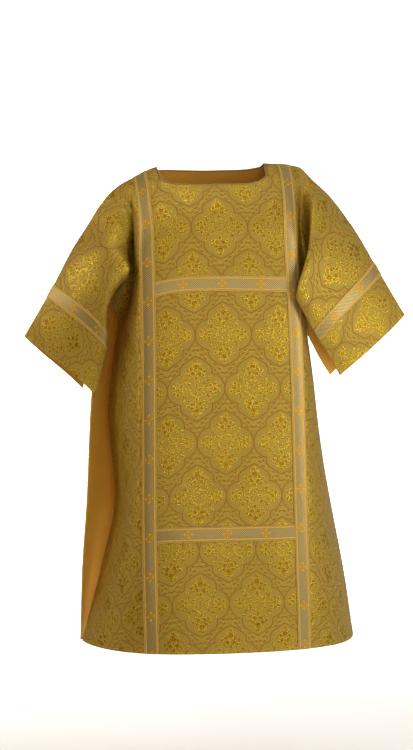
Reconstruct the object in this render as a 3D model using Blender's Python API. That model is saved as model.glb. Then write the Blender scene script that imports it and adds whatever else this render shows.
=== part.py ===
"""Dalmatic, T-cut, worn open at the sides: brocade panels, lining, galloon bands and neck piping.

Front and back are each cut in one piece with their half-sleeves. A point of the cut is given by
`across` (from the centre line towards the cuff) and `down` (from the shoulder line towards the hem),
both measured on the flat cloth. The functions below carry such a point to its place in the worn,
hollow form. Frame: +X to the wearer's left, front towards -Y, +Z up, origin at the middle of the
neck opening at shoulder height. "left" and "right" in names are the wearer's.
"""
import math

import bmesh
import bpy
from mathutils import Vector

# ---- Cloth and trim, metres ----
BROCADE = 0.0015
LINING = 0.0010
GALLOON = 0.0010
GAP = 0.0003
PIPING_RADIUS = 0.0021
PIPING_DROP = 0.0008

# ---- The flat cut ----
NECK_HALF = 0.125
FRONT_NECK_DROP = 0.100
BACK_NECK_DROP = 0.030
NECK_SQUARENESS = 4.6
ARMPIT_ACROSS = 0.360
SLEEVE_DEPTH = 0.240
CUFF_ACROSS = 0.636
SIDE_SPREAD = {"front": 0.440, "back": 0.425}
BAND_WIDTH = 0.034
BAND_CENTRE_TOP = 0.165
BAND_CENTRE_HEM = 0.178
SLEEVE_BAND_FROM_CUFF = 0.123
LINING_SHORT = 0.006

# ---- Heights, falls of the cloth from armpit row to hem, and how finely the cloth is divided ----
HEM_HEIGHT = -1.107
CHEST_BAND_LEVEL = 0.100
LOWER_BAND_LEVEL = 0.708
CENTRE_FALL = 0.917
SIDE_FALL = 0.84
BAND_LEVEL_STEP = BAND_WIDTH / CENTRE_FALL
SIDE_STRETCHES = 6
PLAN_STEP = 0.003
YOKE_ROWS = 5
INNER_FRACTIONS = (0.0, 0.34, 0.62, 0.76, 0.8446, 1.0)
NECK_COLUMNS = 5
PLAIN_LEVELS = (0.0, 0.04, 0.17, 0.28, 0.42, 0.57, 0.81, 0.91, 1.0 - LINING_SHORT / SIDE_FALL, 1.0)
SLEEVE_STATIONS = (0.36, 0.40, 0.45)

# ---- Moving cloth layers off one another ----
LEAST_SLOPE = 0.45
SEAM_STEP = 0.004
BAND_END_REACH = 0.004
SHARP_EDGE = 50

# ---- How far along the cloth a shoulder fold is softened ----
SOFTNESS = 0.022
SOFT_WEIGHTS = ((-2, 0.1), (-1, 0.2), (0, 0.4), (1, 0.2), (2, 0.1))

SIDES = {"right": -1, "left": 1}
FACES = {"front": -1, "back": 1}

# ---- Shoulder and sleeve-top line, a row for each station of the seam ----
# columns: across, out, forward, height
TOP_LINE = {
    "right": (
        (0.000, 0.000, 0.000, 0.002), (0.085, 0.083, 0.000, 0.001), (0.125, 0.121, 0.000, -0.005),
        (0.174, 0.165, 0.000, -0.027), (0.214, 0.200, 0.000, -0.046), (0.244, 0.223, 0.000, -0.065),
        (0.269, 0.239, 0.000, -0.084), (0.292, 0.253, 0.000, -0.102), (0.336, 0.276, 0.000, -0.140),
        (0.401, 0.311, 0.000, -0.195), (0.505, 0.359, 0.000, -0.287), (0.636, 0.422, 0.000, -0.398),
    ),
    "left": (
        (0.000, 0.000, 0.000, 0.002), (0.085, 0.094, 0.000, 0.006), (0.125, 0.139, 0.000, 0.010),
        (0.173, 0.187, 0.000, 0.008), (0.204, 0.218, 0.000, 0.004), (0.250, 0.251, 0.002, -0.025),
        (0.306, 0.290, 0.016, -0.065), (0.372, 0.326, 0.034, -0.117), (0.430, 0.354, 0.048, -0.164),
        (0.507, 0.389, 0.065, -0.232), (0.636, 0.452, 0.088, -0.347),
    ),
}

# ---- Centre line of each panel below the armpit, by level (0 armpit, 1 hem) ----
# columns: level, x, y
CENTRE = {
    "front": (
        (0.0, 0.006, -0.142), (0.15, 0.009, -0.158), (0.35, 0.012, -0.167), (0.7, 0.018, -0.164),
        (1.0, 0.028, -0.158),
    ),
    "back": (
        (0.0, 0.004, 0.140), (0.15, 0.006, 0.158), (0.35, 0.012, 0.178), (0.7, 0.028, 0.225),
        (1.0, 0.048, 0.285),
    ),
}

# ---- Height of the armpit row, which sags towards the sides ----
# columns: across, height
ARMPIT_ROW = {
    ("front", "right"): ((0.0, -0.190), (0.08, -0.193), (0.165, -0.212), (0.25, -0.240), (0.36, -0.268)),
    ("front", "left"): ((0.0, -0.190), (0.165, -0.191), (0.25, -0.236), (0.36, -0.280)),
    ("back", "right"): ((0.0, -0.192), (0.165, -0.205), (0.25, -0.238), (0.36, -0.268)),
    ("back", "left"): ((0.0, -0.192), (0.165, -0.198), (0.25, -0.235), (0.36, -0.275)),
}

# ---- Plan sections: how far the cloth has turned back, in degrees, along its width ----
# columns: level, middle, band, side_1, side_2, side_3, side_4, side_5, side_6
# middle is half way to the band; side_1 to side_6 are equal stretches from the band's outer edge to
# the side edge. Past 90 the cloth would run inwards; below 0 it folds forwards again.
TURN = {
    ("front", "right"): (
        (0.000, 3, 12, 81, 98, 104, 80, 6, -98),
        (0.035, 3, 12, 80, 96, 106, 94, 38, -34),
        (0.070, 3, 13, 77, 92, 100, 94, 66, 22),
        (0.120, 3, 14, 71, 83, 90, 90, 84, 70),
        (0.180, 3, 15, 65, 77, 83, 84, 84, 84),
        (0.350, 3, 15, 61, 70, 77, 81, 82, 82),
        (0.600, 3, 17, 62, 76, 86, 88, 88, 86),
        (0.800, 4, 18, 50, 64, 74, 80, 82, 84),
        (1.000, 5, 22, 34, 46, 56, 66, 72, 84),
    ),
    ("front", "left"): (
        (0.000, 2, 8, 76, 70, 0, -80, -136, -156),
        (0.035, 2, 8, 75, 72, 34, -24, -66, -84),
        (0.070, 2, 9, 73, 74, 62, 34, 6, -14),
        (0.120, 2, 9, 66, 74, 78, 76, 66, 52),
        (0.180, 2, 10, 60, 73, 80, 83, 84, 82),
        (0.350, 3, 10, 52, 64, 72, 76, 78, 78),
        (0.600, 4, 11, 42, 54, 62, 68, 72, 74),
        (0.800, 5, 14, 32, 44, 54, 62, 68, 72),
        (1.000, 8, 20, 26, 34, 46, 58, 66, 74),
    ),
    ("back", "right"): (
        (0.000, 3, 10, 66, 80, 88, 76, 10, -90),
        (0.035, 3, 10, 54, 68, 79, 78, 42, -34),
        (0.070, 3, 11, 51, 62, 73, 76, 60, 22),
        (0.120, 3, 12, 51, 61, 69, 73, 70, 54),
        (0.180, 3, 12, 49, 59, 67, 70, 69, 64),
        (0.350, 5, 10, 48, 60, 61, 64, 64, 64),
        (0.600, 8, 4, 44, 68, 58, 56, 60, 62),
        (0.800, 10, 2, 38, 64, 54, 52, 56, 62),
        (1.000, 12, 4, 32, 58, 50, 50, 56, 66),
    ),
    ("back", "left"): (
        (0.000, 3, 10, 76, 92, 92, 66, -10, -84),
        (0.035, 3, 10, 76, 92, 95, 86, 46, -10),
        (0.070, 3, 11, 74, 91, 96, 94, 84, 62),
        (0.120, 3, 12, 70, 87, 94, 95, 93, 88),
        (0.180, 3, 12, 64, 82, 91, 93, 93, 92),
        (0.350, 4, 14, 52, 78, 88, 86, 83, 84),
        (0.600, 4, 18, 42, 80, 92, 76, 64, 72),
        (0.800, 3, 20, 36, 80, 92, 66, 48, 64),
        (1.000, 2, 22, 34, 78, 92, 60, 38, 58),
    ),
}

# ---- Under-edge of each half-sleeve, beyond the armpit corner ----
# columns: across, out, forward, height
UNDER_EDGE = {
    ("front", "right"): (
        (0.385, 0.220, 0.078, -0.288), (0.41, 0.243, 0.086, -0.312), (0.45, 0.249, 0.086, -0.352),
        (0.51, 0.240, 0.076, -0.412), (0.57, 0.250, 0.066, -0.470), (0.636, 0.267, 0.060, -0.531),
    ),
    ("front", "left"): (
        (0.400, 0.176, 0.160, -0.310), (0.45, 0.196, 0.160, -0.350), (0.50, 0.219, 0.157, -0.388),
        (0.57, 0.250, 0.152, -0.437), (0.636, 0.281, 0.146, -0.487),
    ),
    ("back", "right"): (
        (0.395, 0.226, 0.082, -0.292), (0.43, 0.242, 0.090, -0.322), (0.50, 0.250, 0.096, -0.388),
        (0.57, 0.262, 0.094, -0.452), (0.636, 0.280, 0.084, -0.518),
    ),
    ("back", "left"): (
        (0.395, 0.224, 0.096, -0.300), (0.43, 0.242, 0.104, -0.326), (0.50, 0.266, 0.108, -0.382),
        (0.57, 0.290, 0.098, -0.436), (0.636, 0.316, 0.080, -0.486),
    ),
}

# ---- Shoulder ribs: pull of the cloth where it leaves the top line and where it meets its foot ----
# in, forward and drop move the first handle from the top line; foot_in, foot_forward and rise move
# the second one from the foot. A forward pull makes the sleeve roll, a backward one the recess.
# columns: across, in, forward, drop, foot_in, foot_forward, rise
RIB = {
    ("front", "right"): (
        (0.000, 0.000, 0.066, 0.020, 0.000, 0.000, 0.080),
        (0.150, -0.004, 0.060, 0.022, 0.000, 0.000, 0.078),
        (0.188, 0.004, 0.050, 0.020, 0.000, -0.004, 0.070),
        (0.210, 0.010, 0.046, 0.018, 0.000, -0.010, 0.066),
        (0.235, 0.022, 0.048, 0.016, 0.000, -0.018, 0.064),
        (0.275, 0.050, 0.080, 0.008, 0.004, -0.014, 0.060),
        (0.315, 0.060, 0.110, -0.002, 0.014, 0.026, 0.048),
        (0.360, 0.044, 0.108, 0.000, 0.008, 0.052, 0.038),
        (0.410, 0.022, 0.092, 0.004, 0.000, 0.050, 0.030),
        (0.500, 0.034, 0.070, 0.030, -0.012, 0.036, 0.034),
        (0.636, 0.050, 0.036, 0.046, -0.045, 0.016, 0.050),
    ),
    ("front", "left"): (
        (0.000, 0.000, 0.066, 0.018, 0.000, 0.000, 0.080),
        (0.150, -0.004, 0.060, 0.018, 0.000, 0.000, 0.076),
        (0.190, 0.000, 0.050, 0.026, 0.000, -0.004, 0.074),
        (0.235, 0.006, 0.034, 0.044, 0.000, -0.024, 0.080),
        (0.275, 0.018, 0.056, 0.034, 0.004, -0.010, 0.070),
        (0.315, 0.034, 0.086, 0.018, 0.004, 0.014, 0.064),
        (0.360, 0.042, 0.092, 0.012, -0.002, 0.026, 0.060),
        (0.410, 0.038, 0.082, 0.016, -0.016, 0.022, 0.056),
        (0.500, 0.036, 0.058, 0.034, -0.036, 0.014, 0.050),
        (0.636, 0.050, 0.034, 0.044, -0.056, 0.008, 0.046),
    ),
    ("back", "right"): (
        (0.000, 0.000, 0.066, 0.022, 0.000, 0.000, 0.080),
        (0.150, -0.004, 0.060, 0.022, 0.000, 0.000, 0.078),
        (0.190, 0.004, 0.052, 0.020, 0.000, -0.004, 0.072),
        (0.235, 0.040, 0.056, 0.008, 0.000, -0.036, 0.060),
        (0.275, 0.056, 0.090, 0.006, 0.000, -0.030, 0.058),
        (0.315, 0.046, 0.112, -0.004, 0.010, 0.030, 0.044),
        (0.360, 0.030, 0.108, 0.000, 0.004, 0.056, 0.034),
        (0.410, 0.024, 0.096, 0.006, 0.000, 0.050, 0.032),
        (0.500, 0.034, 0.076, 0.030, -0.016, 0.038, 0.034),
        (0.636, 0.050, 0.048, 0.046, -0.045, 0.022, 0.048),
    ),
    ("back", "left"): (
        (0.000, 0.000, 0.066, 0.022, 0.000, 0.000, 0.080),
        (0.150, -0.004, 0.062, 0.020, 0.000, 0.000, 0.080),
        (0.190, 0.000, 0.056, 0.024, 0.000, -0.004, 0.076),
        (0.235, 0.024, 0.046, 0.020, 0.000, -0.038, 0.074),
        (0.275, 0.046, 0.088, 0.008, 0.000, -0.032, 0.064),
        (0.315, 0.046, 0.112, 0.000, 0.008, 0.020, 0.052),
        (0.360, 0.040, 0.110, 0.004, 0.008, 0.046, 0.040),
        (0.410, 0.036, 0.098, 0.014, -0.006, 0.046, 0.036),
        (0.500, 0.040, 0.080, 0.030, -0.032, 0.036, 0.038),
        (0.636, 0.050, 0.052, 0.044, -0.056, 0.020, 0.046),
    ),
}


# ---------------------------------------------------------------- reading the tables

def read(rows, key):
    """All columns after the first, at a key between the rows, by a smooth curve through the rows."""
    keys = [row[0] for row in rows]
    key = min(max(key, keys[0]), keys[-1])
    index = 0
    while index < len(keys) - 2 and key > keys[index + 1]:
        index += 1
    step = keys[index + 1] - keys[index]
    part = (key - keys[index]) / step
    values = []
    for column in range(1, len(rows[0])):
        low = rows[index][column]
        high = rows[index + 1][column]
        slope_low = slope_at(rows, index, column) * step
        slope_high = slope_at(rows, index + 1, column) * step
        values.append(hermite(low, high, slope_low, slope_high, part))
    return values


def slope_at(rows, index, column):
    """Slope of a column at a row: the harmonic mean of its two sides, so no hump is added."""
    if index == 0:
        return secant(rows, 0, column)
    if index == len(rows) - 1:
        return secant(rows, index - 1, column)
    before = secant(rows, index - 1, column)
    after = secant(rows, index, column)
    if before * after <= 0:
        return 0.0
    return 2 * before * after / (before + after)


def secant(rows, index, column):
    return (rows[index + 1][column] - rows[index][column]) / (rows[index + 1][0] - rows[index][0])


def hermite(low, high, slope_low, slope_high, part):
    square = part * part
    cube = square * part
    return (
        low * (2 * cube - 3 * square + 1) + slope_low * (cube - 2 * square + part)
        + high * (3 * square - 2 * cube) + slope_high * (cube - square)
    )


# ---------------------------------------------------------------- the worn form

def half_width(face, level):
    return ARMPIT_ACROSS + (SIDE_SPREAD[face] - ARMPIT_ACROSS) * level


def band_centre(level):
    return BAND_CENTRE_TOP + (BAND_CENTRE_HEM - BAND_CENTRE_TOP) * level


def top_point(face, side, across):
    """A point of the shoulder and sleeve-top line, half the seam's gap away from the other panel."""
    out, forward, height = read(TOP_LINE[side], across)
    return Vector((SIDES[side] * out, FACES[face] * GAP / 2 - forward, height))


def seam_direction(side, across):
    """Upwards and square to the top line, the same for both panels."""
    before = top_point("front", side, across - SEAM_STEP)
    after = top_point("front", side, across + SEAM_STEP)
    return Vector((before.z - after.z, 0.0, after.x - before.x)).normalized() * SIDES[side]


def body_plan(face, side, level, across):
    """Plan position (x, y) of a body point: the cloth followed outwards from the centre line."""
    x, y = read(CENTRE[face], level)
    turns = read(TURN[face, side], level)
    outer = band_centre(level) + BAND_WIDTH / 2
    stretch = (half_width(face, level) - outer) / SIDE_STRETCHES
    knots = [(0.0, 0.0), (band_centre(level) / 2, turns[0]), (band_centre(level), turns[1])]
    for number in range(SIDE_STRETCHES):
        knots.append((outer + (number + 0.5) * stretch, turns[2 + number]))
    count = max(1, math.ceil(across / PLAN_STEP))
    step = across / count
    for number in range(count):
        turn = math.radians(between(knots, (number + 0.5) * step))
        x += SIDES[side] * step * math.cos(turn)
        y -= FACES[face] * step * math.sin(turn)
    return x, y


def between(knots, key):
    """Straight-line reading of (key, value) pairs, held level past the ends."""
    if key <= knots[0][0]:
        return knots[0][1]
    for (low, low_value), (high, high_value) in zip(knots, knots[1:]):
        if key <= high:
            return low_value + (high_value - low_value) * (key - low) / (high - low)
    return knots[-1][1]


def body_point(face, side, level, across):
    """A point below the armpit row; every column falls from that row to the level hem."""
    x, y = body_plan(face, side, level, across)
    start = read(ARMPIT_ROW[face, side], across * ARMPIT_ACROSS / half_width(face, level))[0]
    return Vector((x, y, start + (HEM_HEIGHT - start) * level))


def foot_point(face, side, across):
    """Lower end of a shoulder rib: the armpit row, then the sleeve's under-edge."""
    corner = body_point(face, side, 0.0, ARMPIT_ACROSS)
    if across <= ARMPIT_ACROSS:
        return body_point(face, side, 0.0, across)
    first = (ARMPIT_ACROSS, SIDES[side] * corner.x, FACES[face] * corner.y, corner.z)
    rows = (first,) + UNDER_EDGE[face, side]
    out, forward, height = read(rows, across)
    return Vector((SIDES[side] * out, FACES[face] * forward, height))


def rib_point(face, side, across, share):
    """A point of a shoulder rib, softened along the cloth except at its two ends."""
    reach = SOFTNESS * 4 * share * (1 - share)
    reach = min(reach, (CUFF_ACROSS - across) / 2, across / 2)
    if reach <= 0:
        return plain_rib_point(face, side, across, share)
    total = Vector((0, 0, 0))
    for offset, weight in SOFT_WEIGHTS:
        total += plain_rib_point(face, side, across + offset * reach, share) * weight
    return total


def plain_rib_point(face, side, across, share):
    """A point of the rib that runs from the top line (share 0) down to its foot (share 1)."""
    top = top_point(face, side, across)
    foot = foot_point(face, side, across)
    pull = read(RIB[face, side], across)
    first = top + Vector((-SIDES[side] * pull[0], FACES[face] * pull[1], -pull[2]))
    second = foot + Vector((-SIDES[side] * pull[3], FACES[face] * pull[4], pull[5]))
    rest = 1 - share
    return (
        top * rest ** 3 + first * 3 * rest * rest * share
        + second * 3 * rest * share * share + foot * share ** 3
    )


def neck_share(face, across):
    """How far down its rib the neck opening reaches: a wide oval with squared shoulders."""
    if across >= NECK_HALF:
        return 0.0
    drop = {"front": FRONT_NECK_DROP, "back": BACK_NECK_DROP}[face]
    shape = (1 - (across / NECK_HALF) ** NECK_SQUARENESS) ** (1 / NECK_SQUARENESS)
    return drop * shape / SLEEVE_DEPTH


# ---------------------------------------------------------------- the mesh of a panel

def inner_edge(level):
    return band_centre(level) - BAND_WIDTH / 2


def body_columns(face, level):
    """Distances from the centre line at which the cloth is divided, at one level."""
    columns = [fraction * inner_edge(level) for fraction in INNER_FRACTIONS]
    outer = inner_edge(level) + BAND_WIDTH
    stretch = (half_width(face, level) - outer) / SIDE_STRETCHES
    columns += [outer + number * stretch for number in range(SIDE_STRETCHES + 1)]
    return columns


def levels():
    """Levels of the rows: the plain ones and both edges of each cross band."""
    marks = set(PLAIN_LEVELS)
    for centre in (CHEST_BAND_LEVEL, LOWER_BAND_LEVEL):
        marks.add(centre - BAND_LEVEL_STEP / 2)
        marks.add(centre + BAND_LEVEL_STEP / 2)
    return sorted(marks)


def sleeve_columns():
    """Distances from the centre line along a sleeve, with both edges of its band."""
    centre = CUFF_ACROSS - SLEEVE_BAND_FROM_CUFF
    edges = [centre - BAND_WIDTH / 2, centre + BAND_WIDTH / 2]
    return sorted(list(SLEEVE_STATIONS) + edges + [(edges[1] + CUFF_ACROSS) / 2, CUFF_ACROSS])


class Panel:
    """Points and triangles of one brocade panel, and the direction in which each point moves out."""

    def __init__(self, face):
        self.face = face
        self.points = []
        self.index = {}
        self.triangles = []
        self.on_seam = {}
        self.patches = {}
        self.neck = {}
        for side in SIDES:
            self.add_yoke(side)
            self.add_body(side)
            self.add_sleeve(side)
        self.outward = self.directions()

    def add(self, point):
        key = tuple(round(value * 1e5) for value in point)
        if key not in self.index:
            self.index[key] = len(self.points)
            self.points.append(point)
        return self.index[key]

    def add_grid(self, side, grid, name):
        """Turn a grid of points (rows downwards, columns outwards) into triangles."""
        numbers = [[self.add(point) for point in row] for row in grid]
        cells = {}
        for row in range(len(grid) - 1):
            for column in range(len(grid[0]) - 1):
                a = numbers[row][column]
                b = numbers[row][column + 1]
                c = numbers[row + 1][column + 1]
                d = numbers[row + 1][column]
                cell = [(a, d, c), (a, c, b)]
                if SIDES[side] * FACES[self.face] > 0:
                    cell = [corner[::-1] for corner in cell]
                cell = [corner for corner in cell if len(set(corner)) == 3]
                cells[row, column] = cell
                self.triangles += cell
        self.patches[side, name] = cells
        return numbers

    def add_yoke(self, side):
        columns = body_columns(self.face, 0.0)
        grid = []
        for row in range(YOKE_ROWS + 1):
            points = []
            for across in columns:
                top = neck_share(self.face, across)
                share = top + (1 - top) * row / YOKE_ROWS
                points.append(self.place_yoke(side, across, share))
            grid.append(points)
        numbers = self.add_grid(side, grid, "yoke")
        self.neck[side] = numbers[0][:NECK_COLUMNS]
        for column, across in enumerate(columns):
            if across >= NECK_HALF - 1e-6:
                self.on_seam[numbers[0][column]] = (side, across)

    def place_yoke(self, side, across, share):
        if across > 0:
            return rib_point(self.face, side, across, share)
        return (rib_point(self.face, "left", 0.0, share) + rib_point(self.face, "right", 0.0, share)) / 2

    def add_body(self, side):
        grid = []
        for level in levels():
            grid.append([
                body_point(self.face, side, level, across) for across in body_columns(self.face, level)
            ])
        self.add_grid(side, grid, "body")

    def add_sleeve(self, side):
        grid = []
        for row in range(YOKE_ROWS + 1):
            grid.append([
                rib_point(self.face, side, across, row / YOKE_ROWS) for across in sleeve_columns()
            ])
        numbers = self.add_grid(side, grid, "sleeve")
        for column, across in enumerate(sleeve_columns()):
            self.on_seam[numbers[0][column]] = (side, across)

    def directions(self):
        """For each point, the move that takes every face around it out by one metre, or near it."""
        around = {number: [] for number in range(len(self.points))}
        for a, b, c in self.triangles:
            normal = (self.points[b] - self.points[a]).cross(self.points[c] - self.points[a])
            for corner in (a, b, c):
                around[corner].append(normal.normalized())
        moves = []
        for number in range(len(self.points)):
            if number in self.on_seam:
                move = seam_direction(*self.on_seam[number])
            else:
                move = sum(around[number], Vector((0, 0, 0))).normalized()
            least = min(move.dot(normal) for normal in around[number])
            moves.append(move / max(least, LEAST_SLOPE))
        return moves

    def moved(self, distance):
        return [point + move * distance for point, move in zip(self.points, self.outward)]

    def pick(self, side, name, rows=None, columns=None):
        """Triangles of some cells of a patch."""
        chosen = []
        for (row, column), cell in self.patches[side, name].items():
            if (rows is None or row in rows) and (columns is None or column in columns):
                chosen += cell
        return chosen


def share_seam(panels):
    """Move both panels alike along their seam, by the larger of the two moves, so they never cross."""
    places = {place: number for number, place in panels["back"].on_seam.items()}
    for number, place in panels["front"].on_seam.items():
        other = places[place]
        front = panels["front"].outward
        back = panels["back"].outward
        shared = max(front[number], back[other], key=lambda move: move.length)
        front[number] = shared
        back[other] = shared


# ---------------------------------------------------------------- solids from a panel

def wall(name, panel, triangles, inner, outer, material):
    """A closed wall over some triangles of a panel, between two distances from its surface."""
    used = sorted({corner for triangle in triangles for corner in triangle})
    near = panel.moved(inner)
    far = panel.moved(outer)
    shape = bmesh.new()
    low = {number: shape.verts.new(near[number]) for number in used}
    high = {number: shape.verts.new(far[number]) for number in used}
    borders = {}
    for triangle in triangles:
        shape.faces.new([high[corner] for corner in triangle])
        shape.faces.new([low[corner] for corner in reversed(triangle)])
        for start, end in zip(triangle, triangle[1:] + triangle[:1]):
            if (end, start) in borders:
                del borders[end, start]
            else:
                borders[start, end] = True
    for start, end in borders:
        shape.faces.new([low[start], low[end], high[end]])
        shape.faces.new([low[start], high[end], high[start]])
    mesh = bpy.data.meshes.new(name)
    shape.to_mesh(mesh)
    shape.free()
    mesh.materials.append(material)
    mesh.shade_smooth()
    mesh.set_sharp_from_angle(angle=math.radians(SHARP_EDGE))
    piece = bpy.data.objects.new(name, mesh)
    bpy.data.collections[COLLECTION].objects.link(piece)
    return piece


def make_panels(face, panel, brocade, lining):
    """The brocade wall and, inside it, the lining, which ends one row of cells above the hem."""
    wall(face, panel, panel.triangles, -BROCADE, 0.0, brocade)
    last_row = len(levels()) - 2
    lined = []
    for side in SIDES:
        lined += panel.pick(side, "yoke") + panel.pick(side, "sleeve")
        lined += panel.pick(side, "body", rows=range(last_row))
    inside = -BROCADE - GAP
    wall(face + "_lining", panel, lined, inside - LINING, inside, lining)


def make_bands(face, panel, galloon):
    """Galloon on one panel: two bands from shoulder to hem, two across, one round each sleeve."""
    band_column = len(INNER_FRACTIONS) - 1
    marks = levels()
    across_names = {CHEST_BAND_LEVEL: "_chest_band", LOWER_BAND_LEVEL: "_lower_band"}
    for side in SIDES:
        strip = panel.pick(side, "yoke", columns=[band_column])
        strip += panel.pick(side, "body", columns=[band_column])
        wall(face + "_band_" + side, panel, strip, GAP, GAP + GALLOON, galloon)
        sleeve = sleeve_columns()
        start = sleeve.index(CUFF_ACROSS - SLEEVE_BAND_FROM_CUFF - BAND_WIDTH / 2)
        round_sleeve = panel.pick(side, "sleeve", columns=[start])
        wall("sleeve_band_" + face + "_" + side, panel, round_sleeve, GAP, GAP + GALLOON, galloon)
    for centre, ending in across_names.items():
        row = marks.index(centre - BAND_LEVEL_STEP / 2)
        cells = []
        for side in SIDES:
            cells += panel.pick(side, "body", rows=[row], columns=range(band_column))
        cross = wall(face + ending, panel, cells, GAP, GAP + GALLOON, galloon)
        clear_of_bands(cross)


def clear_of_bands(cross):
    """Draw both ends of a cross band, all within the end reach, back from the long bands by a gap."""
    ends = [vertex.co.x for vertex in cross.data.vertices]
    lowest = min(ends)
    highest = max(ends)
    for vertex in cross.data.vertices:
        if vertex.co.x < lowest + BAND_END_REACH:
            vertex.co.x += GAP
        if vertex.co.x > highest - BAND_END_REACH:
            vertex.co.x -= GAP


def make_piping(panels, material):
    """Corded piping round the neck, just off the panels' edges and level with their thickness."""
    ring = []
    for face in FACES:
        panel = panels[face]
        line = panel.neck["right"][::-1] + panel.neck["left"][1:]
        if face == "back":
            line = line[::-1][1:-1]
        ring += [(panel.points[number], panel.outward[number].normalized()) for number in line]
    centre = sum((point for point, outward in ring), Vector()) / len(ring)
    knots = []
    for number, (point, outward) in enumerate(ring):
        before = ring[number - 1][0]
        after = ring[(number + 1) % len(ring)][0]
        first = inward_of(point - before, outward, centre - point)
        second = inward_of(after - point, outward, centre - point)
        away = (first + second) / (1 + first.dot(second))
        knots.append(point + away * (PIPING_RADIUS + 3 * GAP) - outward * PIPING_DROP)
    curve = bpy.data.curves.new("neck_piping", "CURVE")
    curve.dimensions = "3D"
    curve.bevel_depth = PIPING_RADIUS
    curve.bevel_resolution = 1
    spline = curve.splines.new("POLY")
    spline.points.add(len(knots) - 1)
    spline.use_cyclic_u = True
    for knot, place in zip(spline.points, knots):
        knot.co = (*place, 1)
    curve.materials.append(material)
    piping = bpy.data.objects.new("neck_piping", curve)
    bpy.data.collections[COLLECTION].objects.link(piping)


def inward_of(along, outward, towards):
    """Unit direction across an edge, in the cloth's plane, on the side of the neck opening."""
    across = along.cross(outward).normalized()
    return across if across.dot(towards) > 0 else -across


def plain_material(name, colour, roughness, metallic):
    material = bpy.data.materials.new(name)
    material.use_nodes = True
    shader = material.node_tree.nodes["Principled BSDF"]
    shader.inputs["Base Color"].default_value = (*colour, 1)
    shader.inputs["Roughness"].default_value = roughness
    shader.inputs["Metallic"].default_value = metallic
    return material


COLLECTION = "dalmatic"


def main():
    for item in list(bpy.data.objects):
        bpy.data.objects.remove(item, do_unlink=True)
    collection = bpy.data.collections.new(COLLECTION)
    bpy.context.scene.collection.children.link(collection)
    brocade = plain_material("gold_brocade", (0.40, 0.26, 0.05), 0.45, 0.3)
    lining = plain_material("orange_lining", (0.45, 0.20, 0.03), 0.6, 0.0)
    galloon = plain_material("gold_galloon", (0.50, 0.33, 0.12), 0.5, 0.2)
    panels = {face: Panel(face) for face in FACES}
    share_seam(panels)
    for face, panel in panels.items():
        make_panels(face, panel, brocade, lining)
        make_bands(face, panel, galloon)
    make_piping(panels, galloon)


main()
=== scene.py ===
"""Dalmatic in gold brocade: cloth, lining, galloon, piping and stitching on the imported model's frame."""
import math

import bpy
import numpy as np
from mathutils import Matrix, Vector


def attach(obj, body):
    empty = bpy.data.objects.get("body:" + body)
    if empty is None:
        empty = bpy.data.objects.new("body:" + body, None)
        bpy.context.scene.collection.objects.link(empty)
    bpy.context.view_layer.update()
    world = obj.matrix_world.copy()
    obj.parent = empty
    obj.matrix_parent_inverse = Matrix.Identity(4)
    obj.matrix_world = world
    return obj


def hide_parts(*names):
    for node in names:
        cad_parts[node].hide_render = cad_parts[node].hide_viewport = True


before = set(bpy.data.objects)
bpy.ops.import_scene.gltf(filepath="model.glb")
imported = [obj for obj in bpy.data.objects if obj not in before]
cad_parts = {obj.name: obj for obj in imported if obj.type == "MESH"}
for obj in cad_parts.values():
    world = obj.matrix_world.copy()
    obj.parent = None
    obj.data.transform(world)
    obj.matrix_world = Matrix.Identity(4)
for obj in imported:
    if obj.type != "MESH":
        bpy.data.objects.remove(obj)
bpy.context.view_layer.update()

CENTIMETRES = 100.0
MILLIMETRES = 1000.0

# ---- Cloth and trim, metres ----
BROCADE = 0.0015
LINING = 0.0010
GALLOON = 0.0010
GAP = 0.0003
PIPING_RADIUS = 0.0021
PIPING_DROP = 0.0008
STITCH_SIZES = {"Pitch": 0.0036, "Length": 0.0026, "Radius": 0.00028}
STITCH_LIFT = 0.0001
HEM_INSET = 0.005
LINING_INSET = 0.012
SHARP_EDGE = 55  # degrees

# ---- The galloon's face: shares of its thickness and half width, and rises in metres ----
GALLOON_GROUND = 0.75
EDGE_CORD_AT = 0.94
EDGE_CORD_WIDTH = 0.10
EDGE_CORD_RISE = 0.00035
GALLOON_CROWN = 0.00018

# ---- The flat cut ----
NECK_HALF = 0.125
FRONT_NECK_DROP = 0.100
BACK_NECK_DROP = 0.030
NECK_SQUARENESS = 4.6
ARMPIT_ACROSS = 0.360
SLEEVE_DEPTH = 0.240
CUFF_ACROSS = 0.636
SIDE_SPREAD = {"front": 0.440, "back": 0.425}
BAND_WIDTH = 0.034
BAND_CENTRE_TOP = 0.165
BAND_CENTRE_HEM = 0.178
SLEEVE_BAND_MIDDLE = CUFF_ACROSS - 0.123
LINING_SHORT = 0.006
LONG_BAND = 1.16

# ---- Heights in metres, and levels: 0 at the armpit row, 1 at the hem ----
HEM_HEIGHT = -1.107
CENTRE_FALL = 0.917
CHEST_BAND_LEVEL = 0.100
LOWER_BAND_LEVEL = 0.708
BAND_LEVEL_STEP = BAND_WIDTH / CENTRE_FALL

# ---- How finely the cloth is followed and divided ----
SIDE_STRETCHES = 6
SEAM_STEP = 0.004
LEAST_SLOPE = 0.45
SAME_PLACE = 1e-6
CORD_END_REACH = 0.002
PLAN_STEP = 0.001
INNER_COLUMNS = 26
BAND_COLUMNS = 8
SIDE_COLUMNS = 30
YOKE_ROWS = 52
BODY_ROWS = 150
SLEEVE_COLUMNS = 28
CUFF_COLUMNS = 20

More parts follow.
